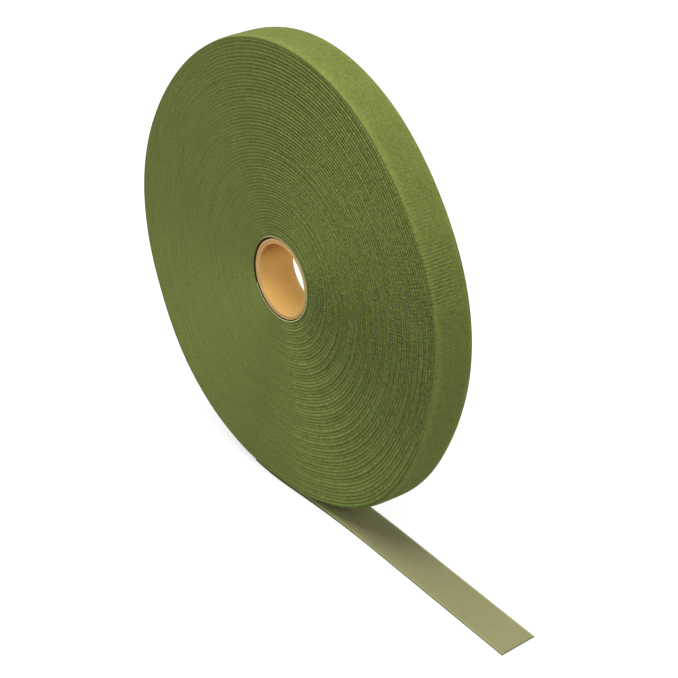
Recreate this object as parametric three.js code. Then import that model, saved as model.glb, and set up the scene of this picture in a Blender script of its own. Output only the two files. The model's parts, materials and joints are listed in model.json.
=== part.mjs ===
// A roll of back-to-back hook and loop tape on a paper core, with its free end laid out on the table.
// Millimetres, +Z up. The roll's axis runs along Y above the origin, and the origin is the point of the
// table under the middle of the roll. The free end runs out towards +X.
import * as THREE from "three";

// The tape
const tapeWidth = 20;
const tapeThickness = 1.05;
const loopLayerThickness = 0.6;
const selvedgeTaper = 0.35;

// The wound roll
const rollRadius = 114;
const turnPitch = 1.56;
const windingHoleRadius = 20.4;
const holeShift = -0.3;
const holeDrop = 1.8;
const flatsPerTurn = 24;
const shapedTurns = 24;

// The paper core and the bead of glue that starts the tape on it
const coreClearance = 0.8;
const coreWall = 2.2;
const glueBeadThickness = 0.3;
const glueBeadWidth = 4;
const glueBeadLength = 16;

// The free end, from where it leaves the roll to its cut tip
const tailReach = 171;
const hingeReach = 72;
const tailYaw = THREE.MathUtils.degToRad(4.2);
const tailSetBack = 1.4;
const tailBendSteps = 8;

// Gaps between pieces that end against each other
const endGap = 0.3;

// A flat of the winding is a straight chord of tape. Flat 0 lies on the table under the roll, the next
// ones go round clockwise as seen from -Y, and each lies a little further in than the one before.
const flatAngle = (flat) => -Math.PI / 2 - (2 * Math.PI * flat) / flatsPerTurn;
const flatDistance = (flat) => rollRadius - (turnPitch * flat) / flatsPerTurn;
const flatNormal = (flat) => new THREE.Vector2(Math.cos(flatAngle(flat)), Math.sin(flatAngle(flat)));
const flatForward = (flat) => new THREE.Vector2(Math.sin(flatAngle(flat)), -Math.cos(flatAngle(flat)));

// The point where two lines meet, each given by its normal and its distance from the roll's axis.
function crossing(normalA, distanceA, normalB, distanceB) {
  const spread = normalA.x * normalB.y - normalA.y * normalB.x;
  return new THREE.Vector2(
    (distanceA * normalB.y - distanceB * normalA.y) / spread,
    (distanceB * normalA.x - distanceA * normalB.x) / spread,
  );
}

// The corner between a flat and the next one, at a given depth below the outer side of the tape.
function corner(flat, depth) {
  return crossing(
    flatNormal(flat), flatDistance(flat) - depth,
    flatNormal(flat + 1), flatDistance(flat + 1) - depth,
  );
}

// The free end starts half a flat's length past the foot of the roll, square to the table.
const exitReach = rollRadius * Math.tan(Math.PI / flatsPerTurn);
const lastFlat = flatsPerTurn * shapedTurns - 1;

// A point of the winding seen from its side, at a station along the tape and a depth below its outer
// side. Both ends are cut square to the tape.
function stationPoint(station, depth) {
  if (station === 0) return new THREE.Vector2(exitReach, depth - rollRadius);
  if (station <= lastFlat) return corner(station - 1, depth);
  return corner(lastFlat, 0).addScaledVector(flatNormal(lastFlat), -depth);
}

// The six sides of the tape's section, as places across the tape and depths below its outer side.
const sectionPoints = [
  [-tapeWidth / 2, tapeThickness / 2],
  [-tapeWidth / 2 + selvedgeTaper, 0],
  [tapeWidth / 2 - selvedgeTaper, 0],
  [tapeWidth / 2, tapeThickness / 2],
  [tapeWidth / 2 - selvedgeTaper, tapeThickness],
  [-tapeWidth / 2 + selvedgeTaper, tapeThickness],
];

// The outer turns of the tape: one unbroken strip, flat by flat, closed at its two ends.
function outerTurnsGeometry() {
  const sides = sectionPoints.length;
  const positions = [];
  const faces = [];
  for (let station = 0; station <= lastFlat + 1; station += 1) {
    for (const [across, depth] of sectionPoints) {
      const point = stationPoint(station, depth);
      positions.push(point.x, across, point.y + rollRadius);
    }
  }
  for (let station = 0; station <= lastFlat; station += 1) {
    for (let side = 0; side < sides; side += 1) {
      const here = station * sides + side;
      const beside = station * sides + ((side + 1) % sides);
      faces.push(here, beside + sides, beside, here, here + sides, beside + sides);
    }
  }
  const lastStation = (lastFlat + 1) * sides;
  for (let side = 1; side < sides - 1; side += 1) {
    faces.push(0, side, side + 1);
    faces.push(lastStation, lastStation + side + 1, lastStation + side);
  }
  const geometry = new THREE.BufferGeometry();
  geometry.setAttribute("position", new THREE.Float32BufferAttribute(positions, 3));
  geometry.setIndex(faces);
  geometry.computeVertexNormals();
  return geometry;
}

// The least gap between a turn and the turn inside it, measured from every corner of the inner side to
// the outer side of each flat that passes there one turn later.
function leastTurnGap() {
  let least = Infinity;
  for (let station = 1; station + flatsPerTurn <= lastFlat; station += 1) {
    const inner = stationPoint(station, tapeThickness);
    for (const flat of [station - 1 + flatsPerTurn, station + flatsPerTurn]) {
      least = Math.min(least, inner.dot(flatNormal(flat)) - flatDistance(flat));
    }
  }
  return least;
}

// An upright outline, with its x along X and its y along Z, made as deep as given and centred on Y.
function uprightSolid(outline, depth) {
  const geometry = new THREE.ExtrudeGeometry(outline, { depth, steps: 1, bevelEnabled: false });
  geometry.rotateX(Math.PI / 2);
  geometry.translate(0, depth / 2, 0);
  return geometry;
}

// A ring of flats, each at the given distance from the middle, with one of them facing +X.
function ringPoints(distance, centreX, centreY) {
  const points = [];
  for (let flat = 0; flat < flatsPerTurn; flat += 1) {
    const angle = (2 * Math.PI * (flat + 1 / 2)) / flatsPerTurn;
    const reach = distance / Math.cos(Math.PI / flatsPerTurn);
    points.push(new THREE.Vector2(centreX + reach * Math.cos(angle), centreY + reach * Math.sin(angle)));
  }
  return points;
}

// The hole in the tape isn't in the middle of the roll: the turns are looser above it.
const holeHeight = rollRadius - holeDrop;

// The inner turns: a plain ring whose outside goes on from the shaped turns for one more turn, and
// steps in where the shaped turns end against it.
function innerTurnsGeometry() {
  const first = lastFlat + 1;
  const final = lastFlat + flatsPerTurn;
  const forward = flatForward(lastFlat);
  const stepPlace = forward.dot(corner(lastFlat, 0)) + endGap;
  const outline = [crossing(forward, stepPlace, flatNormal(first), flatDistance(first))];
  for (let flat = first; flat < final; flat += 1) outline.push(corner(flat, 0));
  outline.push(crossing(forward, stepPlace, flatNormal(final), flatDistance(final)));
  const raised = outline.map((point) => point.add(new THREE.Vector2(0, rollRadius)));
  const shape = new THREE.Shape(raised);
  shape.holes.push(new THREE.Path(ringPoints(windingHoleRadius, holeShift, holeHeight)));
  return uprightSolid(shape, tapeWidth);
}

// The paper tube is cut as long as the tape is wide and stands off centre in the hole: its right side is
// glued to the first turn, and the slack shows as a crescent on its left.
const coreRadius = windingHoleRadius - coreClearance;
const coreShift = holeShift + coreClearance - glueBeadThickness;

function coreGeometry() {
  const shape = new THREE.Shape(ringPoints(coreRadius, coreShift, holeHeight));
  shape.holes.push(new THREE.Path(ringPoints(coreRadius - coreWall, coreShift, holeHeight)));
  return uprightSolid(shape, tapeWidth);
}

function glueBeadGeometry() {
  const geometry = new THREE.BoxGeometry(glueBeadThickness, glueBeadLength, glueBeadWidth);
  geometry.translate(coreShift + coreRadius + glueBeadThickness / 2, 0, holeHeight);
  return geometry;
}

// The free end lies on the table and leaves the roll a little towards the back of it. Its root bends
// evenly in plan from straight to the yaw towards -Y, and the lifting flap beyond the hinge line runs
// straight to the cut tip.
const rootStart = exitReach + endGap;
const rootLength = hingeReach - rootStart;
const bendRadius = rootLength / Math.sin(tailYaw);

function bendPoint(turn, across) {
  return new THREE.Vector2(
    rootStart + (bendRadius + across) * Math.sin(turn),
    tailSetBack + across - (bendRadius + across) * (1 - Math.cos(turn)),
  );
}

function rootOutline() {
  const back = [];
  const front = [];
  for (let step = 0; step <= tailBendSteps; step += 1) {
    const turn = (tailYaw * step) / tailBendSteps;
    back.push(bendPoint(turn, tapeWidth / 2));
    front.push(bendPoint(turn, -tapeWidth / 2));
  }
  return new THREE.Shape([...front, ...back.reverse()]);
}

function flapOutline() {
  const along = new THREE.Vector2(Math.cos(tailYaw), -Math.sin(tailYaw));
  const across = new THREE.Vector2(Math.sin(tailYaw), Math.cos(tailYaw));
  const flapLength = (tailReach - hingeReach) / Math.cos(tailYaw);
  const hingePoint = bendPoint(tailYaw, 0);
  const place = (reach, side) =>
    hingePoint.clone().addScaledVector(along, reach).addScaledVector(across, (side * tapeWidth) / 2);
  return new THREE.Shape([
    place(endGap, -1), place(flapLength, -1), place(flapLength, 1), place(endGap, 1),
  ]);
}

// One layer of the free end: its outline in plan, from one height above the table up to another.
function layerGeometry(outline, low, high) {
  const geometry = new THREE.ExtrudeGeometry(outline, { depth: high - low, steps: 1, bevelEnabled: false });
  geometry.translate(0, 0, low);
  return geometry;
}

const loopPile = { color: 0x7f8a4c, roughness: 0.95, metalness: 0 };
const hookFace = { color: 0x9a9a70, roughness: 0.75, metalness: 0 };
const kraftPaper = { color: 0xc9985a, roughness: 0.85, metalness: 0 };
const paleGlue = { color: 0xd8cfae, roughness: 0.5, metalness: 0 };

function piece(name, geometry, look) {
  const mesh = new THREE.Mesh(geometry, new THREE.MeshStandardMaterial(look));
  mesh.name = name;
  return mesh;
}

const tapeRoll = new THREE.Group();
tapeRoll.add(
  piece("paper_core", coreGeometry(), kraftPaper),
  piece("start_glue_bead", glueBeadGeometry(), paleGlue),
  piece("inner_turns", innerTurnsGeometry(), loopPile),
  piece("outer_turns", outerTurnsGeometry(), loopPile),
);

const freeEnd = new THREE.Group();
freeEnd.add(
  piece("tail_root_loop_layer", layerGeometry(rootOutline(), 0, loopLayerThickness), loopPile),
  piece("tail_root_hook_layer", layerGeometry(rootOutline(), loopLayerThickness, tapeThickness), hookFace),
  piece("tail_flap_loop_layer", layerGeometry(flapOutline(), 0, loopLayerThickness), loopPile),
  piece("tail_flap_hook_layer", layerGeometry(flapOutline(), loopLayerThickness, tapeThickness), hookFace),
);
tapeRoll.add(freeEnd);

console.log(`least gap between turns ${leastTurnGap().toFixed(2)} mm`);

export default tapeRoll;
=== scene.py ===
# %% [markdown]
# A roll of back-to-back hook and loop tape, 20 mm wide, stands on its rim with its free end laid out
# on the table. The real thing has only a few parts: one long laminated tape, a paper core and a bead
# of glue. Its look comes from how the tape is wound: some sixty turns whose edges make the round face,
# soft pile on the rim, and smooth khaki hooks on the upper side of the free end.
#
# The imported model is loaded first. It says where every piece stands, so nothing is fitted by hand.

import json
import math

import bpy
import numpy as np
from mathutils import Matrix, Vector


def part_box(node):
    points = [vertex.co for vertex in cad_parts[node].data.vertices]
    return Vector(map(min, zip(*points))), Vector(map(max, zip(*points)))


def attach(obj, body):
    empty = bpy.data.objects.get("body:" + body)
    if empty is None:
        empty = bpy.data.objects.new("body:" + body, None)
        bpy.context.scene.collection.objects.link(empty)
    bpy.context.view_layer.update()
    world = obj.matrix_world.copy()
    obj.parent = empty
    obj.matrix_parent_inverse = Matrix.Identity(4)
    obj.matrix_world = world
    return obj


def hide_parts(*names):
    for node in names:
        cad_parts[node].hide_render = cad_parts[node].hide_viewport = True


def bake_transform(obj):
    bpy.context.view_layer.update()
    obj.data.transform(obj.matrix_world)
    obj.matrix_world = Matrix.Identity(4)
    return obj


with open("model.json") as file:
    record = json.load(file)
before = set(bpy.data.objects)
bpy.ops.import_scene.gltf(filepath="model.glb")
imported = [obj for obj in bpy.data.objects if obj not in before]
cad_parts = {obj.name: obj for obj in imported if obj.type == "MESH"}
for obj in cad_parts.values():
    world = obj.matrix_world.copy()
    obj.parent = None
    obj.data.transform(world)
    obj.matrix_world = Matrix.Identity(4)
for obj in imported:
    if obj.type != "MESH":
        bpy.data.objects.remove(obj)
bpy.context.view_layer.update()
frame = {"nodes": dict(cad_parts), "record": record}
MM = 0.001

# %% [markdown]
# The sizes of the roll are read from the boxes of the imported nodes. What no box gives is written here as
# a real size: how far apart the turns lie and how thick the tape is. The core stands a little below the
# middle of the roll, because the tape was wound looser above it.

# %% Read the sizes from the frame
core_low, core_high = (Vector(corner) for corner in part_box("paper_core"))
turns_low, turns_high = (Vector(corner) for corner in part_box("outer_turns"))
axis_height = 114 * MM
roll_radius = axis_height - turns_low.z
tape_width = turns_high.y - turns_low.y
half_width = tape_width / 2
turn_pitch = 1.56 * MM
tape_thickness = 1.40 * MM
core_radius = (core_high.z - core_low.z) / 2
core_middle = Vector(((core_low.x + core_high.x) / 2, 0, (core_low.z + core_high.z) / 2))
# The inner end of the tape is thin, and lies left of the core at this share of a turn past the foot.
inner_end_share = 0.18
inner_end_thickness = 0.80 * MM
inner_end_gap = 0.4 * MM
inner_radius = core_radius + inner_end_gap + inner_end_thickness
turn_count = math.floor((roll_radius - inner_radius) / turn_pitch) + inner_end_share
print(f"radius {roll_radius:.4f} m, width {tape_width:.4f} m, {turn_count:.1f} turns")

# %% [markdown]
# The camera stands where the photographer stood: to the right of the roll, in front of it and above
# it. The photograph is taken to be 678 pixels square, and the middle of the roll lies left of and
# above the middle of that frame, so the camera looks a little past the roll.

# %% Place the camera
photo_size_px = 678
roll_middle_px = (297.3, 270.4)
photo_azimuth = math.radians(52.34)
photo_elevation = math.radians(27.95)
focal_length_px = 2174.9
camera_distance = 8.86 * roll_radius
sensor_width_mm = 36


def make_camera():
    forward = Vector((
        -math.sin(photo_azimuth) * math.cos(photo_elevation),
        math.cos(photo_azimuth) * math.cos(photo_elevation),
        -math.sin(photo_elevation),
    ))
    right = Vector((math.cos(photo_azimuth), math.sin(photo_azimuth), 0))
    up = right.cross(forward)
    across = (roll_middle_px[0] - photo_size_px / 2) / focal_length_px
    down = (roll_middle_px[1] - photo_size_px / 2) / focal_length_px
    data = bpy.data.cameras.new("photo_camera")
    data.sensor_width = sensor_width_mm
    data.lens = focal_length_px / photo_size_px * sensor_width_mm
    camera = bpy.data.objects.new("photo_camera", data)
    bpy.context.collection.objects.link(camera)
    target = Vector((0, 0, axis_height))
    camera.location = target - camera_distance * (forward + across * right - down * up)
    camera.rotation_euler = (math.pi / 2 - photo_elevation, 0, photo_azimuth)
    bpy.context.scene.camera = camera
    return camera


camera = make_camera()
bpy.context.scene.view_settings.view_transform = "Standard"
print("camera at", [round(value, 3) for value in camera.location], "lens", round(camera.data.lens, 1))

# %% [markdown]
# The floor, the lights and the materials are made of nodes. The short functions below write the nodes
# that come up again and again. Each input takes a number, a colour or the output of another node, so a
# material reads like a sum.

# %% Write the node helpers


def feed(tree, socket, value):
    """Set a socket to a number, colour or vector, or link the output of another node to it."""
    if isinstance(value, (int, float)):
        socket.default_value = value
    elif isinstance(value, tuple):
        socket.default_value = (*value, 1) if socket.type == "RGBA" else value
    else:
        tree.links.new(value, socket)


def math_node(tree, operation, *values, clamp=False):
    node = tree.nodes.new("ShaderNodeMath")
    node.operation = operation
    node.use_clamp = clamp
    for socket, value in zip(node.inputs, values):
        feed(tree, socket, value)
    return node.outputs[0]


def multiply(tree, first, *others):
    """The product of two or more values."""
    product = first
    for other in others:
        product = math_node(tree, "MULTIPLY", product, other)
    return product


def inverse(tree, value):
    """One minus the value."""
    return math_node(tree, "SUBTRACT", 1.0, value)


def weighted_sum(tree, start, terms):
    """The start with a share of each value added. terms are pairs of a value and its share."""
    total = start
    for value, share in terms:
        total = math_node(tree, "MULTIPLY_ADD", value, share, total)
    return total


def smooth_step(tree, value, low, high, at_low=0.0, at_high=1.0):
    """Zero below low, one above high and smooth between them, or other values at both ends."""
    node = tree.nodes.new("ShaderNodeMapRange")
    node.interpolation_type = "SMOOTHSTEP"
    labels = ("Value", "From Min", "From Max", "To Min", "To Max")
    for label, setting in zip(labels, (value, low, high, at_low, at_high)):
        feed(tree, node.inputs[label], setting)
    return node.outputs["Result"]


def ripples(tree, place, per_mm):
    """A sine wave with this many waves to a millimetre."""
    return math_node(tree, "SINE", multiply(tree, place, 2 * math.pi * per_mm))


def vector_node(tree, operation, first, label, second):
    node = tree.nodes.new("ShaderNodeVectorMath")
    node.operation = operation
    feed(tree, node.inputs[0], first)
    feed(tree, node.inputs[label], second)
    return node.outputs[0]


def stretched(tree, vector, scale):
    """The vector with each axis multiplied by its own scale."""
    return vector_node(tree, "MULTIPLY", vector, 1, scale)


def brightened(tree, colour, gain):
    return vector_node(tree, "SCALE", colour, "Scale", gain)


def parts_of(tree, vector):
    """The three numbers of a vector."""
    node = tree.nodes.new("ShaderNodeSeparateXYZ")
    feed(tree, node.inputs[0], vector)
    return node.outputs


def noise(tree, vector, scale, detail=2.0, roughness=0.5):
    node = tree.nodes.new("ShaderNodeTexNoise")
    labels = ("Vector", "Scale", "Detail", "Roughness")
    for label, value in zip(labels, (vector, scale, detail, roughness)):
        feed(tree, node.inputs[label], value)
    return node.outputs["Fac"]


def mix_colour(tree, amount, first, second):
    node = tree.nodes.new("ShaderNodeMix")
    node.data_type = "RGBA"
    feed(tree, node.inputs["Factor"], amount)
    feed(tree, node.inputs[6], first)
    feed(tree, node.inputs[7], second)
    return node.outputs[2]


def attribute(tree, name, output="Vector"):
    node = tree.nodes.new("ShaderNodeAttribute")
    node.attribute_name = name
    return node.outputs[output]


# %% [markdown]
# The floor is plain and pale. Its diffuse part keeps the shadow of the roll, and an emission that
# only camera, glossy and transmission rays see lifts the rest to white without lighting the object.
# Away from the roll, where no lamp reaches, the emission grows, so that the floor has no grey horizon.

# %% Make the floor
floor_half_side = 4.0
floor_grey = 0.55
floor_lift = 0.74
far_floor_lift = 1.0
near_floor = 0.35
far_floor = 1.3


def seen_rays(tree, strength=1.0):
    """The strength for camera, glossy and transmission rays, and zero for the others."""
    path = tree.nodes.new("ShaderNodeLightPath")
    straight = math_node(tree, "MAXIMUM", path.outputs["Is Camera Ray"], path.outputs["Is Glossy Ray"])
    seen = math_node(tree, "MAXIMUM", straight, path.outputs["Is Transmission Ray"])
    return multiply(tree, seen, strength)


def make_floor():
    mesh = bpy.data.meshes.new("floor")
    side = floor_half_side
    corners = [(-side, -side, 0), (side, -side, 0), (side, side, 0), (-side, side, 0)]
    mesh.from_pydata(corners, [], [(0, 1, 2, 3)])
    floor = bpy.data.objects.new("floor", mesh)
    bpy.context.collection.objects.link(floor)
    material = bpy.data.materials.new("pale_floor")
    material.use_nodes = True
    tree = material.node_tree
    tree.nodes.clear()
    output = tree.nodes.new("ShaderNodeOutputMaterial")
    diffuse = tree.nodes.new("ShaderNodeBsdfDiffuse")
    feed(tree, diffuse.inputs["Color"], (floor_grey,) * 3)
    distance = tree.nodes.new("ShaderNodeVectorMath")
    distance.operation = "LENGTH"
    feed(tree, distance.inputs[0], tree.nodes.new("ShaderNodeTexCoord").outputs["Object"])
    away = distance.outputs["Value"]
    rise = smooth_step(tree, away, near_floor, far_floor, floor_lift, far_floor_lift)
    lift = tree.nodes.new("ShaderNodeEmission")
    feed(tree, lift.inputs["Strength"], seen_rays(tree, rise))
    both = tree.nodes.new("ShaderNodeAddShader")
    feed(tree, both.inputs[0], diffuse.outputs["BSDF"])
    feed(tree, both.inputs[1], lift.outputs["Emission"])
    feed(tree, output.inputs["Surface"], both.outputs["Shader"])
    mesh.materials.append(material)
    return floor


print("stage", make_floor().name)

# %% [markdown]
# Four soft lamps light the roll. The key lamp hangs almost straight above it, a little to the front, so
# the top of the rim is brightest and light grazes the face. The fill lamp stands by the camera and
# lifts the right of the rim. The card lamp is weak and low on the left, like a white card that throws
# some light back on the face. The back lamp keeps the hidden side readable. The world adds an even
# light from all sides, and where the camera sees it, it is white.

# %% Place the lights
world_light = 0.23
# The name, the power in watts, the size in metres and the place of each lamp.
lamps = (
    ("key_lamp", 19.5, 1.2, (0.05, -0.27, 1.60)),
    ("fill_lamp", 2.2, 0.9, (0.95, -0.95, 0.95)),
    ("card_lamp", 0.34, 0.5, (-0.15, -0.60, 0.35)),
    ("back_lamp", 3.0, 0.9, (0.75, 1.15, 0.9)),
)


def make_world():
    world = bpy.data.worlds.new("studio")
    world.use_nodes = True
    tree = world.node_tree
    lighting = tree.nodes["Background"]
    backdrop = tree.nodes.new("ShaderNodeBackground")
    for background, strength in ((lighting, world_light), (backdrop, 1.0)):
        feed(tree, background.inputs["Color"], (1.0, 1.0, 1.0))
        feed(tree, background.inputs["Strength"], strength)
    mix = tree.nodes.new("ShaderNodeMixShader")
    feed(tree, mix.inputs["Fac"], seen_rays(tree))
    feed(tree, mix.inputs[1], lighting.outputs["Background"])
    feed(tree, mix.inputs[2], backdrop.outputs["Background"])
    feed(tree, tree.nodes["World Output"].inputs["Surface"], mix.outputs["Shader"])
    bpy.context.scene.world = world


def make_lamp(name, energy, size, place):
    data = bpy.data.lights.new(name, "AREA")
    data.energy = energy
    data.size = size
    lamp = bpy.data.objects.new(name, data)
    bpy.context.collection.objects.link(lamp)
    lamp.location = place
    towards = Vector((0, 0, axis_height)) - Vector(place)
    lamp.rotation_euler = towards.to_track_quat("-Z", "Y").to_euler()


make_world()
for lamp in lamps:
    make_lamp(*lamp)
print("lights", [lamp.name for lamp in bpy.data.lights])

# %% [markdown]
# Cloth and paper are covered in fine fibres. Real hairs would take millions of strands, and at the
# distance of the photograph they are smaller than a pixel, so they are noise at two sizes: the coarse
# one gives tufts, and the fine one gives single hairs. Where both are low, a dark fleck shows: the
# shade between two tufts. The effect serves every material, so it is a node group.

# %% Make the fibre group
hairs_per_tuft = 3.3
tuft_share = 0.6
hair_share = 0.4
fleck_sharpness = 12.0


def new_group(name, inputs, outputs):
    """An empty shader node group with named sockets, and its input and output nodes."""
    group = bpy.data.node_groups.new(name, "ShaderNodeTree")
    kinds = {"value": "NodeSocketFloat", "colour": "NodeSocketColor", "vector": "NodeSocketVector"}
    for label, kind, default in inputs:
        socket = group.interface.new_socket(label, in_out="INPUT", socket_type=kinds[kind])
        if default is not None:
            socket.default_value = default
    for label, kind in outputs:
        group.interface.new_socket(label, in_out="OUTPUT", socket_type=kinds[kind])
    return group, group.nodes.new("NodeGroupInput").outputs, group.nodes.new("NodeGroupOutput").inputs


def make_fibre_group():
    group, start, end = new_group(
        "fine_fibres",
        [("Place", "vector", None), ("Tufts per mm", "value", 1.0), ("Fleck level", "value", 0.3)],
        [("Height", "value"), ("Flecks", "value")],
    )
    hairs_per_mm = multiply(group, start["Tufts per mm"], hairs_per_tuft)
    tufts = noise(group, start["Place"], start["Tufts per mm"], roughness=0.6)
    hairs = noise(group, start["Place"], hairs_per_mm, roughness=0.6)
    height = weighted_sum(group, multiply(group, tufts, tuft_share), [(hairs, hair_share)])
    below = math_node(group, "SUBTRACT", start["Fleck level"], height)
    feed(group, end["Height"], height)
    feed(group, end["Flecks"], math_node(group, "MULTIPLY", below, fleck_sharpness, clamp=True))
    return group


def use_group(tree, group, inputs):
    """A node of the group with its inputs fed. It gives back the node's outputs."""
    node = tree.nodes.new("ShaderNodeGroup")
    node.node_tree = group
    for label, value in inputs.items():
        feed(tree, node.inputs[label], value)
    return node.outputs


def fibres_at(tree, place, tufts_per_mm, fleck_level):
    inputs = {"Place": place, "Tufts per mm": tufts_per_mm, "Fleck level": fleck_level}
    return use_group(tree, fine_fibres, inputs)


fine_fibres = make_fibre_group()
print("group", fine_fibres.name)

# %% [markdown]
# Dyed cloth and paper are never one flat colour. The drift group turns one colour into a slow mix of a
# lighter and a darker tone of it. Every material uses it too.

# %% Make the colour drift group
drift_detail = 3.0


def make_drift_group():
    group, start, end = new_group(
        "colour_drift",
        [("Place", "vector", None), ("Colour", "colour", (0.5, 0.5, 0.5, 1)),
         ("Patches per mm", "value", 0.05), ("Amount", "value", 0.1)],
        [("Colour", "colour")],
    )
    patches = noise(group, start["Place"], start["Patches per mm"], drift_detail)
    swing = math_node(group, "MULTIPLY_ADD", patches, 2.0, -1.0)
    gain = math_node(group, "MULTIPLY_ADD", swing, start["Amount"], 1.0)
    feed(group, end["Colour"], brightened(group, start["Colour"], gain))
    return group


def drifting(tree, place, colour, patches_per_mm, amount):
    inputs = {"Place": place, "Colour": colour, "Patches per mm": patches_per_mm, "Amount": amount}
    return use_group(tree, colour_drift, inputs)["Colour"]


colour_drift = make_drift_group()
print("group", colour_drift.name)

# %% [markdown]
# Three more helpers serve the materials only: one starts a material, one gives it relief, and one finds
# the edges of the tape. What is the same all over a surface is set on the shader itself.

# %% Start the materials


def new_material(name, roughness, sheen=0.0, specular=0.3):
    """A material with its node tree and its shader."""
    material = bpy.data.materials.new(name)
    material.use_nodes = True
    shader = material.node_tree.nodes["Principled BSDF"]
    shader.inputs["Roughness"].default_value = roughness
    shader.inputs["Sheen Weight"].default_value = sheen
    shader.inputs["Specular IOR Level"].default_value = specular
    return material, material.node_tree, shader


def bump(tree, shader, height, distance):
    node = tree.nodes.new("ShaderNodeBump")
    feed(tree, node.inputs["Strength"], 1.0)
    feed(tree, node.inputs["Distance"], distance)
    feed(tree, node.inputs["Height"], height)
    feed(tree, shader.inputs["Normal"], node.outputs["Normal"])


def towards_edges(tree, across, start, full):
    """Zero in the middle and one at both edges. start and full are mm in from an edge."""
    from_middle = math_node(tree, "ABSOLUTE", across)
    return smooth_step(tree, from_middle, half_width / MM - start, half_width / MM - full)


# %% [markdown]
# The loop side is brushed knitted pile: matt, soft and full of tiny shadows. Its material reads from
# the mesh where a point lies on the tape and what state the tape is in there, so the pattern follows
# the tape round every turn and no turn repeats the one beside it.
#
# Along the open edges the ends of the weft show as a row of beads, and light sinks in between two
# turns: a painted shade. A painted highlight makes the crest of each edge paler. Light comes from above,
# so this highlight is on the outer side of an edge at the top of the roll and on the inner side at the
# bottom, which lit_outside tells. Painted shade also darkens every edge a little, the open edges more,
# and the right of the face and of the rim most. A painted highlight lightens the fuzz near both edges
# of the rim. Where the openness is below zero, the edge is pressed smooth and its colour is made paler.
# Pressed marks cross the front part of the rim in short ribs, and break up the shade between the edges
# on the right of the face.
#
# Where the web side is bare, its own edge shows as a pale line. The bareness is a half on the innermost
# turn and one on the free end. There the edge of the pile, which lies on the table, is in the shade.

# %% Make the loop pile
pile_colour = (0.204, 0.246, 0.057)
sheen_colour = (0.75, 1.0, 0.55)
pile_shade = (0.060, 0.082, 0.010)
bare_edge_colour = (0.78, 0.72, 0.40)
beads_per_mm = 0.65
ribs_per_mm = 0.61
mottles_per_mm = 0.32
# How bright plain pile is, and how much each part adds to that or takes away.
pile_level = 0.15
# Some of these shares are painted light: painted shade on every edge, more on open edges and most on the
# right of the face and of the rim, and painted highlights on the crests and on the fuzz of the rim.
pile_shares = {
    "fibres": 1.7, "mottle": 0.5, "edge": -0.08, "lit fuzz": 0.20, "right rim shade": -0.08, "ribs": 0.30,
    "beads": 0.34, "outer crest highlight": 0.41, "inner crest highlight": 0.5945, "open edge": -0.19,
    "right face shade": -0.25, "paler lower left": 0.33,
}
fleck_share = 0.5
groove_share = 0.6
# How even the shade in a groove is, and how far beads and ribs break it up.
groove_evenness = 0.9
bead_break = -0.15
rib_break = -0.7
# Where each part starts and is full: depths below the pile side, bands from an edge and places across
# the tape, all in mm.
rim_depths = (0.0, 0.2)
outer_highlight_depths = (0.2, 0.5)
inner_highlight_depths = (0.58, 0.80)
groove_depths = (0.55, 1.1)
pile_depths = (0.8, 1.1)
web_depths = (0.9, 1.15)
# The edge of the web lies higher on the thin inner end than on the free end.
thin_end_rise = 0.6
web_sink = 0.8
edge_band = (0.9, 0.3)
lit_fuzz_band = (4.2, 0.8)
back_part = (-1.0, 7.0)
# How fine the patches of ribs and the beads are along, across and down the tape, in waves to a mm.
rib_patch_scale = (0.22, 0.30, 1.0)
bead_scale = (1.0, 0.3, 0.7)
rib_patch_range = (0.30, 0.55)


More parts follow.
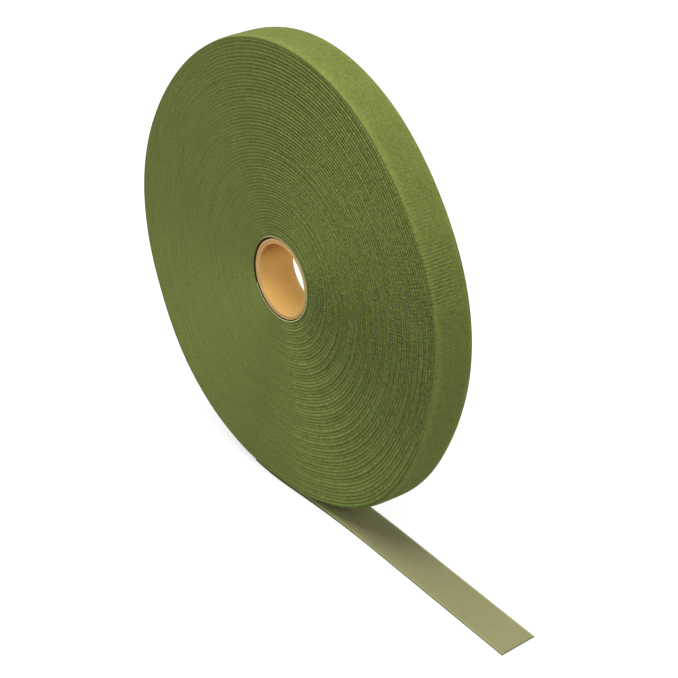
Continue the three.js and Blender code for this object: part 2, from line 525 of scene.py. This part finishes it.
def make_loop_pile():
    material, tree, shader = new_material("loop_pile", 0.95, sheen=0.11, specular=0.09)
    feed(tree, shader.inputs["Sheen Tint"], sheen_colour)
    place = attribute(tree, "tape_place")
    length, across, depth = parts_of(tree, place)
    openness, ribbing, bareness = parts_of(tree, attribute(tree, "tape_state"))
    lit_outside = attribute(tree, "lit_outside", "Fac")
    fibres = fibres_at(tree, place, 1.0, 0.38)
    at_edge = towards_edges(tree, across, *edge_band)
    on_rim = inverse(tree, smooth_step(tree, depth, *rim_depths))

    # The ribs across the rim and the beads along an edge. Noise stays near a half, so it is stretched
    # to swing round zero.
    patch_noise = noise(tree, stretched(tree, place, rib_patch_scale), 1.0, 1.0)
    at_front = inverse(tree, smooth_step(tree, across, *back_part))
    rib_patches = multiply(tree, smooth_step(tree, patch_noise, *rib_patch_range), at_front)
    ribs = multiply(tree, ripples(tree, length, ribs_per_mm), rib_patches, ribbing)
    bead_noise = noise(tree, stretched(tree, place, bead_scale), beads_per_mm, 1.0, 0.7)
    bead_wave = math_node(tree, "MULTIPLY_ADD", bead_noise, 4.0, -2.0)
    beads = multiply(tree, bead_wave, at_edge, openness)

    # What is brighter or darker than plain pile.
    mottle = math_node(tree, "ADD", noise(tree, place, mottles_per_mm), -0.5)
    above_crest = inverse(tree, smooth_step(tree, depth, *outer_highlight_depths))
    open_edge = multiply(tree, openness, lit_outside, at_edge)
    lit_inside = multiply(tree, openness, inverse(tree, lit_outside), at_edge)
    # The colour of the edges is made paler where the openness is below zero, on the lower left of the
    # face.
    lower_left_paleness = math_node(tree, "MULTIPLY", openness, -4.0, clamp=True)
    # Among these parts are the painted shade and the painted highlights named above.
    parts = {
        "fibres": fibres["Height"],
        "mottle": multiply(tree, mottle, on_rim),
        "edge": at_edge,
        "lit fuzz": multiply(tree, towards_edges(tree, across, *lit_fuzz_band), on_rim),
        "right rim shade": multiply(tree, ribbing, on_rim),
        "ribs": ribs,
        "beads": beads,
        "outer crest highlight": multiply(tree, above_crest, open_edge),
        "inner crest highlight": multiply(tree, smooth_step(tree, depth, *inner_highlight_depths), lit_inside),
        "open edge": open_edge,
        "right face shade": multiply(tree, ribbing, at_edge),
        "paler lower left": multiply(tree, lower_left_paleness, at_edge),
    }
    gain = weighted_sum(tree, pile_level, [(part, pile_shares[name]) for name, part in parts.items()])
    lit = brightened(tree, drifting(tree, place, pile_colour, 0.06, 0.12), gain)

    # The shade between tufts, between two turns and under the laid tape, and the bare edge of the web.
    flecked = mix_colour(tree, multiply(tree, fibres["Flecks"], fleck_share), lit, pile_shade)
    breaks = weighted_sum(tree, bead_break, [(ribbing, rib_break)])
    broken = weighted_sum(tree, groove_evenness, [(bead_wave, breaks)])
    groove = multiply(tree, smooth_step(tree, depth, *groove_depths), open_edge, openness)
    shade = math_node(tree, "MULTIPLY", groove, broken, clamp=True)
    shaded = mix_colour(tree, multiply(tree, shade, groove_share), flecked, pile_shade)
    on_pile = inverse(tree, smooth_step(tree, depth, *pile_depths))
    laid = math_node(tree, "MULTIPLY_ADD", bareness, 2.0, -1.0, clamp=True)
    dimmed = mix_colour(tree, multiply(tree, on_pile, laid, at_edge), shaded, pile_shade)
    bare = math_node(tree, "MULTIPLY", bareness, 2.0, clamp=True)
    web_depth = weighted_sum(tree, math_node(tree, "ADD", depth, thin_end_rise), [(bareness, -web_sink)])
    web_edge = multiply(tree, smooth_step(tree, web_depth, *web_depths), bare)
    feed(tree, shader.inputs["Base Color"], mix_colour(tree, web_edge, dimmed, bare_edge_colour))
    bump(tree, shader, weighted_sum(tree, fibres["Height"], [(ribs, 0.25), (beads, 0.3)]), 0.35 * MM)
    return material


loop_pile = make_loop_pile()
print("material", loop_pile.name)

# %% [markdown]
# The hook side is a fine field of moulded hooks in rows on a woven ground. From a step away it is a
# smooth khaki, paler along its two bare selvedges, and paler near the roll, where painted light lifts
# the shadow that the roll casts on it. So the hooks are relief and not single shapes. On the wound
# turns no light reaches them: they show only in the gap beside the core, where a painted shade makes
# them nearly black.

# %% Make the hook web
web_colour = (0.343, 0.324, 0.156)
selvedge_colour = (0.40, 0.42, 0.17)
# Painted shade for the web in the gap beside the core.
gap_shade_colour = (0.040, 0.020, 0.006)
hook_rows_per_mm = 1.8
selvedge_band = (1.6, 0.9)
selvedge_share = 0.6
# How bright the web is, and how much painted light brightens it over the lengths past the foot, in the
# roll's shadow.
web_level = 0.9
root_light_share = 0.43
root_light_lengths = (15.0, 80.0)
# Bareness between that of the innermost turn, made dark with painted shade, and that of the free end.
bare_range = (0.6, 0.9)


def make_hook_web():
    material, tree, shader = new_material("hook_web", 0.72, sheen=0.05)
    place = attribute(tree, "tape_place")
    length, across = parts_of(tree, place)[:2]
    bareness = parts_of(tree, attribute(tree, "tape_state"))[2]
    fibres = fibres_at(tree, place, 0.9, 0.3)
    at_edge = towards_edges(tree, across, *selvedge_band)
    rows, files = (ripples(tree, way, hook_rows_per_mm) for way in (length, across))
    hooks = multiply(tree, rows, files, inverse(tree, at_edge))
    colour = drifting(tree, place, web_colour, 0.035, 0.16)
    edged = mix_colour(tree, multiply(tree, at_edge, selvedge_share), colour, selvedge_colour)
    # Painted light near the roll, where the roll shades the free end.
    near_roll = inverse(tree, smooth_step(tree, length, *root_light_lengths))
    gain = weighted_sum(tree, web_level, [(near_roll, root_light_share), (fibres["Height"], 0.2)])
    in_light = smooth_step(tree, bareness, *bare_range)
    shown = mix_colour(tree, in_light, gap_shade_colour, brightened(tree, edged, gain))
    feed(tree, shader.inputs["Base Color"], shown)
    bump(tree, shader, weighted_sum(tree, fibres["Height"], [(hooks, 0.3)]), 0.12 * MM)
    return material


hook_web = make_hook_web()
print("material", hook_web.name)

# %% [markdown]
# The core is kraft paper, wound in plies and cut off square. Its fibres run round the tube, and the
# cut end shows the plies as thin lines. Under the top of the bore the paper is lit only by paper, so a
# deeper, more orange painted shade is mixed in there, and along the bottom of the tube a painted shade
# makes it a little darker.

# %% Make the kraft paper
kraft_colour = (0.95, 0.592, 0.180)
kraft_cut_colour = (0.82, 0.52, 0.21)
# A painted shade, deeper and more orange, for the top of the bore.
kraft_painted_shade_colour = (0.47, 0.155, 0.02)
plies_per_mm = 2.2
ply_share = 0.08
cut_band = (0.8, 0.45)
cut_share = 0.75
# Heights in the bore, from -1 at its bottom to 1 at its top: where the painted shade at the top is mixed
# in, and where the painted shade along the bottom fades.
painted_shade_heights = (0.0, 0.85)
bottom_shade_heights = (-1.0, -0.55)
liner_radii = (core_radius / MM - 1.9, core_radius / MM - 1.2)
kraft_level = 0.77
bottom_shade_share = 0.08


def make_kraft_paper():
    material, tree, shader = new_material("kraft_paper", 0.85, specular=0.28)
    place = attribute(tree, "paper_place")
    round_tube, along, out = parts_of(tree, place)
    fibres = fibres_at(tree, stretched(tree, place, (0.35, 1.2, 1.0)), 1.4, 0.33)
    cut = towards_edges(tree, along, *cut_band)
    plies = multiply(tree, ripples(tree, out, plies_per_mm), cut, ply_share)
    height = math_node(tree, "SINE", math_node(tree, "DIVIDE", round_tube, core_radius / MM))
    inside = inverse(tree, smooth_step(tree, out, *liner_radii))
    # Painted shade under the top of the bore.
    bore_top_shade = multiply(tree, smooth_step(tree, height, *painted_shade_heights), inside)
    colour = drifting(tree, place, kraft_colour, 0.11, 0.1)
    top_shade_painted = mix_colour(tree, bore_top_shade, colour, kraft_painted_shade_colour)
    plain = mix_colour(tree, multiply(tree, cut, cut_share), top_shade_painted, kraft_cut_colour)
    # Painted shade along the bottom of the tube: the gain is lower there.
    clear_of_bottom_shade = smooth_step(tree, height, *bottom_shade_heights)
    shares = [(clear_of_bottom_shade, bottom_shade_share), (fibres["Height"], 0.3), (plies, 1.0)]
    gain = weighted_sum(tree, kraft_level, shares)
    feed(tree, shader.inputs["Base Color"], brightened(tree, plain, gain))
    bump(tree, shader, math_node(tree, "ADD", fibres["Height"], plies), 0.1 * MM)
    return material


kraft_paper = make_kraft_paper()
print("material", kraft_paper.name)

# %% [markdown]
# The bead of glue is set hot melt: smooth, cream and a little cloudy.

# %% Make the glue
glue_colour = (0.70, 0.64, 0.45)


def make_pale_glue():
    material, tree, shader = new_material("pale_glue", 0.45, specular=0.5)
    where = tree.nodes.new("ShaderNodeTexCoord").outputs["Object"]
    in_mm = stretched(tree, where, (1 / MM, 1 / MM, 1 / MM))
    fibres = fibres_at(tree, in_mm, 0.6, 0.1)
    feed(tree, shader.inputs["Base Color"], drifting(tree, in_mm, glue_colour, 0.4, 0.15))
    bump(tree, shader, fibres["Height"], 0.1 * MM)
    return material


pale_glue = make_pale_glue()
print("material", pale_glue.name)

# %% [markdown]
# The tape is one strip, so every stretch of it is made by the same function: a section of the tape is
# set at many stations along its path and joined into a closed skin. A bevelled curve would do that too,
# but its section keeps one shape all the way. A station has the point under the middle of the pile side,
# the direction that the pile faces and the direction across the tape.
#
# Two edges are described. On an open edge the pile curls over and the web below it lies back, which
# leaves a groove between two turns. On a closed edge the pile is pressed flat and fills the groove. The
# openness of a station mixes the two. The pile springs up until it meets the next turn, so a station
# also has a swell, the share by which the tape is thicker there. On the rim nothing presses the pile
# flat, so the outermost turn has a crown: its pile slopes down towards both edges.

# %% Build a strip of tape
# Across the tape from its edge, and down from the pile side, along one edge of the tape.
open_outline = np.array([
    (0.30, 0.00), (0.06, 0.14), (0.00, 0.40), (0.10, 0.66), (0.30, 0.82), (0.46, 1.40),
]) * MM
closed_outline = np.array([
    (0.06, 0.00), (0.02, 0.20), (0.00, 0.50), (0.01, 0.85), (0.03, 1.15), (0.06, 1.40),
]) * MM
rim_crown = 0.55 * MM
crown_power = 5
web_tolerance = 0.01 * MM


def tape_sections(openness, pile_columns, web_columns):
    """The section of the tape at each station, and which of its sides show the hook web.

    A point of a section is a place across the tape and a depth below its pile side.
    """
    share = openness[:, None, None]
    edge = open_outline * share + closed_outline * (1 - share)
    front = edge - (half_width, 0)
    back = edge[:, ::-1] * (-1, 1) + (half_width, 0)

    def side(start, finish, columns):
        steps = np.arange(1, columns)[None, :, None] / columns
        return start[:, None, :] * (1 - steps) + finish[:, None, :] * steps

    web_side = side(front[:, -1], back[:, 0], web_columns)
    pile_side = side(back[:, -1], front[:, 0], pile_columns)
    sections = np.concatenate([front, web_side, back, pile_side], 1)
    nearest = np.minimum(sections[0], np.roll(sections[0], -1, axis=0))
    return sections, nearest[:, 1] > tape_thickness - web_tolerance


def skin(stations, sides, closed=False):
    """Quads from each ring of points to the next one. closed joins the last ring to the first."""
    ring = np.arange(stations if closed else stations - 1)[:, None] * sides
    side = np.arange(sides)[None, :]
    here = (ring + side).ravel()
    beside = (ring + (side + 1) % sides).ravel()
    points = stations * sides
    return np.stack([here, (here + sides) % points, (beside + sides) % points, beside], 1).tolist()


def new_piece(name, places, faces, materials, attributes, slots=None):
    """A smooth object. attributes has numbers for every point, and slots a material for every face."""
    mesh = bpy.data.meshes.new(name)
    mesh.from_pydata(places.reshape(-1, 3).tolist(), [], faces)
    for material in materials:
        mesh.materials.append(material)
    if slots is not None:
        mesh.polygons.foreach_set("material_index", slots)
    mesh.polygons.foreach_set("use_smooth", np.ones(len(faces), bool))
    for label, rows in attributes.items():
        kind, key = ("FLOAT_VECTOR", "vector") if rows.ndim == 2 else ("FLOAT", "value")
        made = mesh.attributes.new(label, kind, "POINT")
        made.data.foreach_set(key, rows.astype(np.float32).ravel())
    mesh.validate()
    mesh.update()
    piece = bpy.data.objects.new(name, mesh)
    bpy.context.collection.objects.link(piece)
    print(f"{name}: {len(mesh.polygons)} faces")
    return piece


def make_strip(name, points, outward, across, lengths, state, swell, columns, crown=0.0):
    """One closed strip of tape. state has openness, ribbing, bareness and lit_outside by station."""
    sections, shows_hooks = tape_sections(state[:, 0], *columns)
    stations, sides = sections.shape[:2]
    sloping = crown / tape_thickness * np.abs(sections[:, :, :1] / half_width) ** crown_power
    depths = tape_thickness - (tape_thickness - sections[:, :, 1:]) * (1 - sloping)
    depths = depths * swell[:, None, None]
    aside = across[:, None, :] * sections[:, :, :1]
    places = points[:, None, :] + aside - outward[:, None, :] * depths
    first_end = list(range(sides))
    last_end = [(stations - 1) * sides + side for side in reversed(range(sides))]
    on_tape = np.empty((stations, sides, 3))
    on_tape[:, :, 0] = lengths[:, None] / MM
    on_tape[:, :, 1:] = sections / MM
    attributes = {
        "tape_place": on_tape.reshape(-1, 3),
        "tape_state": np.repeat(state[:, :3], sides, axis=0),
        "lit_outside": np.repeat(state[:, 3], sides),
    }
    slots = np.concatenate([np.tile(shows_hooks, stations - 1), [False, False]]).astype(np.int32)
    faces = skin(stations, sides) + [first_end, last_end]
    return new_piece(name, places, faces, (loop_pile, hook_web), attributes, slots)


print("points along an edge", len(open_outline))

# %% [markdown]
# The wound turns follow one spiral. Rings would be easier to draw, but a tape has two ends, and both
# show here: one at the foot of the roll and one beside the core. The turn angle starts at zero under the
# roll and grows clockwise, as seen from the front, while the tape works inwards.
#
# The roll isn't perfectly round, because it was wound by hand. Slow waves run round its rim and fade
# towards the hole, and on both sides of the foot the turns sag outwards. The outer turns lie a little
# looser than the inner ones, most of all at the top. The hole in the tape follows the core, with a gap
# that is widest on the left. Near the foot the outermost turn is drawn a little to the back by the free
# end. The pile fills what is left between two turns, so the swell is worked out from their distance.

# %% Describe the path of the tape
full_turn = 2 * math.pi
# How much looser the outer turns lie, everywhere and at the top, and the direction of the loosest.
slack = 0.045
top_slack = 0.055
top_slack_middle = 80
# How many swells a turn, their height, and the place of the first, counted up from +X towards +Z.
rim_waves = (
    (2, 0.60 * MM, 35), (3, 0.95 * MM, -42), (4, 0.35 * MM, 0), (5, 0.60 * MM, 17), (6, 0.45 * MM, 2),
)
# The waves end within this angle of the foot.
foot_calm = 0.55
# The sags right and left of the foot: how far they go, and the angles from the foot where each is full,
# starts to fade and has faded.
sags = ((1.4 * MM, 0.24, 0.60, 1.15), (1.5 * MM, 0.36, 0.78, 1.20))
# The gap between the core and the tape, and the direction in which it is widest.
least_core_gap = 0.05 * MM
more_core_gap = 0.74 * MM
gap_middle = 190
# The set-back of the tape at the foot, and how far round it reaches.
foot_set_back = 2.0 * MM
foot_reach = 0.8
pile_overlap = 0.02
roll_middle = np.array([0, 0, axis_height])
hole_shift = np.array(core_middle) - roll_middle
y_axis = np.array([0.0, 1.0, 0.0])


def compass(angles):
    """The angle of a place on the face, counted from +X towards +Z, for a turn angle."""
    return -math.pi / 2 - angles


def ease(values, low, high):
    """Zero below low, one above high and smooth between them."""
    share = np.clip((values - low) / (high - low), 0, 1)
    return share * share * (3 - 2 * share)


def rim_wave(angles):
    places = compass(angles)
    wave = sum(height * np.cos(count * (places - math.radians(at))) for count, height, at in rim_waves)
    from_foot = np.abs((angles + math.pi) % full_turn - math.pi)
    wave = wave * ease(from_foot, 0, foot_calm)
    for past_foot, (height, full, fading, faded) in zip((-angles % full_turn, angles % full_turn), sags):
        wave = wave + height * ease(past_foot, 0, full) * (1 - ease(past_foot, fading, faded))
    return wave


def hole_radii(angles):
    """How far the hole in the tape reaches from the middle of the core."""
    facing_gap = 0.5 + 0.5 * np.cos(compass(angles) - math.radians(gap_middle))
    return core_radius + least_core_gap + more_core_gap * facing_gap ** 2


def spiral_radii(angles):
    share = 1 - angles / (full_turn * turn_count)
    towards_top = np.maximum(np.cos(compass(angles) - math.radians(top_slack_middle)), 0)
    looseness = slack + top_slack * towards_top ** 2
    reach = share * (1 - looseness) + share ** 2 * looseness
    innermost = hole_radii(angles) + inner_end_thickness
    return innermost + reach * (roll_radius - innermost) + rim_wave(angles) * share ** 3


def spiral_frame(angles):
    """The point on the pile side and the way the pile faces, for each turn angle."""
    share = 1 - angles / (full_turn * turn_count)
    radii = spiral_radii(angles)
    outward = np.stack([-np.sin(angles), np.zeros_like(angles), -np.cos(angles)], 1)
    middles = roll_middle + hole_shift * (1 - share)[:, None]
    return middles + outward * radii[:, None], outward


def set_back(angles):
    """How far the tape is drawn to the back: most at the foot, where the free end leaves the roll."""
    return foot_set_back * sum(np.exp(-((angles - foot) / foot_reach) ** 2) for foot in (0, full_turn))


def pile_swell(angles):
    """How much thicker the tape is where its pile springs up to the next turn. Its inner end is thin."""
    left = turn_count - angles / full_turn
    bound = spiral_radii(angles) - spiral_radii(angles + full_turn)
    innermost = spiral_radii(angles) - hole_radii(angles) - inner_end_thickness * left
    return np.where(left > 1, bound, innermost) / tape_thickness + pile_overlap


quarter_radii = spiral_radii(np.arange(4) * full_turn / 4)
print("radius at the foot, left, top and right", np.round(quarter_radii, 4))

# %% [markdown]
# The face doesn't look the same all round. On the right the edges of the turns stand open and are
# frayed most. Over the top they close, and at the lower left they are pressed smooth, as if the roll had
# lain on that side. Light from above falls on the inner sides of the edges only round the bottom. The
# functions give these states for each turn angle, and the mesh carries them to the materials.

# %% Describe the state of the edges
# The middle of each region and how far it reaches, and where the edges close and open again, in degrees.
frayed_region = (5, 48)
pressed_region = (218, 36)
inner_light_region = (-76, 48)
face_rib_region = (5, 26)
rim_rib_region = (22, 20)
closing = (62, 142)
opening = (250, 308)
closed_openness = 0.08
frayed_gain = 0.35
pressed_loss = 0.33


def within(angles, region):
    """One in the middle of a region, falling smoothly to zero round the compass."""
    middle, reach = region
    from_middle = (np.degrees(compass(angles)) - middle + 180) % 360 - 180
    return np.exp(-(from_middle / reach) ** 2)


def face_openness(angles):
    """One where the edges of the turns stand open, and nearly zero where they are pressed together."""
    degrees = np.degrees(compass(angles)) % 360
    shut = ease(degrees, *closing) - ease(degrees, *opening)
    openness = closed_openness + (1 - closed_openness) * (1 - shut)
    openness = openness + frayed_gain * within(angles, frayed_region)
    return openness - pressed_loss * within(angles, pressed_region)


def lit_outside(angles):
    """One where light falls on the outer side of an edge, and zero where it falls on the inner side."""
    return 1 - within(angles, inner_light_region)


def slow_noise(lengths, spacing, seed):
    """Random values from -1 to 1 that change over about the given length of tape."""
    knots = np.random.default_rng(seed).uniform(-1, 1, int(lengths.max() / spacing) + 3)
    place = (lengths - lengths.min()) / spacing
    low = np.floor(place).astype(int)
    share = ease(place - low, 0, 1)
    return knots[low] * (1 - share) + knots[low + 1] * share


quarter_openness = face_openness(np.arange(4) * full_turn / 4)
print("openness at the foot, left, top and right", np.round(quarter_openness, 2))

# %% [markdown]
# The strip is laid along the spiral in two pieces. Each turn drifts a little sideways, as a hand-fed
# tape does, so some edges stand proud of their neighbours and catch the light. The outermost turn is a
# piece of its own, because it shows its whole width on the rim: it has finer steps, columns across the
# pile and the crown. The others show only their edges.

# %% Wind the tape
outer_step = 4.4 * MM
inner_step = 1.8 * MM
rim_step = 0.6 * MM
# The free end's strip takes over this far round the foot.
tail_overlap_angle = 0.22
rim_openness = 0.3
edge_drift = 0.16 * MM
# The length of tape over which each of the random values changes.
drift_spacing = 45 * MM
rib_spacing = 9 * MM
patch_spacing = 30 * MM
# The share of the drift that is left on shut edges, and how much of the ribs and patches is random.
pressed_drift = 0.3
rib_swing = 0.4
patch_swing = 0.2
inner_bareness = 0.5
# The innermost turn is bare: where that starts and where it is full, in turns before its end.
bare_start, bare_full = 0.82, 0.72


def spiral_stations(first_angle, last_angle, steps):
    """Turn angles and the length of tape up to each. steps has the step on the rim and at the hole."""
    angles, lengths = [first_angle], [0.0]
    while angles[-1] < last_angle:
        radius = roll_radius - turn_pitch * angles[-1] / full_turn
        share = (radius - inner_radius) / (roll_radius - inner_radius)
        step = steps[0] * share + steps[1] * (1 - share)
        angles.append(min(angles[-1] + step / radius, last_angle))
        lengths.append(lengths[-1] + (angles[-1] - angles[-2]) * radius)
    return np.array(angles), np.array(lengths)


def wind_turns(name, first_angle, last_angle, steps, columns, seed, crown=0.0):
    """A piece of the winding and its length. The seed and the two after it set its random drifts."""
    angles, lengths = spiral_stations(first_angle, last_angle, steps)
    points, outward = spiral_frame(angles)
    drift_share = pressed_drift + (1 - pressed_drift) * face_openness(angles)
    drift = edge_drift * slow_noise(lengths, drift_spacing, seed) * drift_share
    points = points + y_axis * (drift + set_back(angles))[:, None]
    across = np.tile(y_axis, (len(angles), 1))
    ribbing = within(angles, rim_rib_region if crown else face_rib_region)
    ribbing = ribbing * (1 - rib_swing + rib_swing * slow_noise(lengths, rib_spacing, seed + 1))
    patches = 1 - patch_swing + patch_swing * slow_noise(lengths, patch_spacing, seed + 2)
    innermost = ease(angles, full_turn * (turn_count - bare_start), full_turn * (turn_count - bare_full))
    openness = face_openness(angles) * patches * (1 - innermost) * (rim_openness if crown else 1)
    state = np.column_stack([openness, ribbing, inner_bareness * innermost, lit_outside(angles)])
    piece = make_strip(name, points, outward, across, lengths, state, pile_swell(angles), columns, crown)
    return piece, lengths[-1]


rim_start = tail_overlap_angle
rim_end = full_turn + tail_overlap_angle
wound_tape, wound_length = wind_turns(
    "wound_tape", rim_end, full_turn * turn_count, (outer_step, inner_step), (1, 1), 3)
outer_turn, outer_length = wind_turns(
    "outer_turn", rim_start, rim_end, (rim_step, rim_step), (28, 1), 5, rim_crown)
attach(wound_tape, "roll")
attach(outer_turn, "roll")
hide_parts("inner_turns", "outer_turns")
print(f"wound length {wound_length + outer_length:.2f} m")

# %% [markdown]
# The free end leaves the foot of the roll, lies down on the table and runs out to its cut tip. It shows
# its hook side, and its pile lies flatter the further it is from the roll. Its tip was cut by hand, so it
# is slanted. It lies a little further back than the imported model's free end, as in the photograph.
#
# The joint lifts its outer part. Here the strip only takes its path from that joint: it curves on the
# table until it reaches the hinge line, and runs on straight, square to the hinge, from there. It is one
# piece laid out at rest, and not attached to a body.

# %% Lay out the free end
joints = {entry["name"]: entry for entry in frame["record"]["behaviour"]["joints"]}
joint = joints["free_end_lift"]
hinge_point = Vector(joint["pos_m"])
tail_yaw = math.atan2(-joint["axis"][0], -joint["axis"][1])
flap_high = Vector(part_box("tail_flap_loop_layer")[1])
root_low, root_high = (Vector(corner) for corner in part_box("tail_root_loop_layer"))
bend_start = root_low.x
root_set_back = root_high.y - half_width
tip_slant = 0.155
tip_slant_length = 14 * MM
tip_trim = 1.2 * MM
laid_back = 0.6 * MM
laid_thickness = 0.75 * MM
bend_radius = (hinge_point.x - bend_start) / math.sin(tail_yaw)
tail_step = 0.8 * MM
foot_stations = 40
tail_openness = 0.25


def tail_stations():
    """Stations from the last of the wound turns, round the foot of the roll, to the cut tip."""
    points, outward, across, lengths = [], [], [], []
    curved = np.linspace(tail_overlap_angle, 0, foot_stations)[:-1]
    on_roll, faces = spiral_frame(curved)
    for point, face, angle in zip(on_roll, faces, curved):
        points.append(point + y_axis * set_back(angle))
        outward.append(face)
        across.append(y_axis)
        lengths.append(-angle * roll_radius)
    tip_length = flap_high.x - tip_trim - half_width * (math.sin(tail_yaw) + tip_slant)
    bend_length = bend_radius * tail_yaw
    steps = int(round(tip_length / tail_step))
    for step in range(steps + 1):
        length = tip_length * step / steps
        turn = min(max((length - bend_start) / bend_length, 0), 1) * tail_yaw
        run = max(length - bend_start - bend_length, 0)
        x = min(length, bend_start) + bend_radius * math.sin(turn) + run * math.cos(tail_yaw)
        y = root_set_back + laid_back - bend_radius * (1 - math.cos(turn)) - run * math.sin(tail_yaw)
        y += (foot_set_back - root_set_back - laid_back) * (1 - ease(length, 0, hinge_point.x))
        slant = tip_slant * ease(length, tip_length - tip_slant_length, tip_length)
        sine, cosine = math.sin(turn), math.cos(turn)
        points.append(np.array([x, y, 0]))
        outward.append(np.array([0, 0, -1.0]))
        across.append(np.array([sine - slant * cosine, cosine + slant * sine, 0]))
        lengths.append(length)
    return (np.array(rows) for rows in (points, outward, across, lengths))


points, outward, across, lengths = tail_stations()
tail_state = np.tile([tail_openness, 0.0, 1.0, 1.0], (len(lengths), 1))
laid_swell = 1 - (1 - laid_thickness / tape_thickness) * ease(lengths, bend_start / 2, hinge_point.x)
free_end_tape = make_strip(
    "free_end_tape", points, outward, across, lengths, tail_state, laid_swell, (24, 24))
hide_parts("tail_root_loop_layer", "tail_root_hook_layer",
            "tail_flap_loop_layer", "tail_flap_hook_layer")
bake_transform(free_end_tape)

# %% [markdown]
# The paper core is a short tube, cut from a long one that was wound from strips of paper. It is round,
# so it replaces the many-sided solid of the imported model. A cylinder with a hole would be too perfect,
# so it is turned from a closed outline, point by point round the tube. Three things make it look wound
# and cut: the bore isn't quite in the middle of the tube, the liner stands back a little from the cut
# end, and the outermost ply stops in a small step.

# %% Make the paper core
core_wall = 2.2 * MM
bore_shift = np.array([0.75 * MM, 0, 0])
core_spokes = 240
ply_step = 0.45 * MM
ply_end = math.radians(207)
# Shares of the wall from the bore outwards, and how far each point stands back from the cut end.
end_outline = (
    (0.0, 0.35 * MM), (0.10, 0.12 * MM), (0.40, 0.08 * MM), (0.46, 0.45 * MM), (0.58, 0.45 * MM),
    (0.64, 0.04 * MM), (0.94, 0.06 * MM), (1.0, 0.25 * MM),
)
bore_rows = 9


def make_core():
    half_length = (core_high.y - core_low.y) / 2
    bore_half = half_length - end_outline[0][1]
    rows = [(0.0, -bore_half + 2 * bore_half * row / bore_rows) for row in range(bore_rows, 0, -1)]
    rows += [(share, -half_length + back) for share, back in end_outline]
    rows += [(share, half_length - back) for share, back in reversed(end_outline)][:-1]
    walls, ends = np.array(rows).T
    spokes = np.linspace(0, full_turn, core_spokes, endpoint=False)
    facing = np.stack([np.cos(spokes), np.zeros_like(spokes), np.sin(spokes)], 1)
    outer = core_radius - ply_step * (1 - ((spokes - ply_end) % full_turn) / full_turn) ** 2
    bore = core_radius - core_wall + facing @ bore_shift
    radii = bore[:, None] * (1 - walls) + outer[:, None] * walls
    places = np.array(core_middle) + facing[:, None, :] * radii[:, :, None]
    places[:, :, 1] = ends
    on_paper = np.empty_like(places)
    on_paper[:, :, 0] = (spokes * core_radius)[:, None] / MM
    on_paper[:, :, 1] = ends / MM
    on_paper[:, :, 2] = radii / MM
    faces = skin(core_spokes, len(rows), closed=True)
    attributes = {"paper_place": on_paper.reshape(-1, 3)}
    return new_piece("wound_paper_core", places, faces, (kraft_paper,), attributes)


paper_core = make_core()
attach(paper_core, "roll")
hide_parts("paper_core")
print(f"bore about {2 * (core_radius - core_wall):.4f} m")

# %% [markdown]
# The glue bead holds the inner end of the tape on the core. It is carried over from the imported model,
# with its own material, because nothing of it shows from outside.

# %% Dress the glue bead
glue_bead = frame["nodes"]["start_glue_bead"]
glue_bead.data.materials.clear()
glue_bead.data.materials.append(pale_glue)
print("carried over", glue_bead.name)
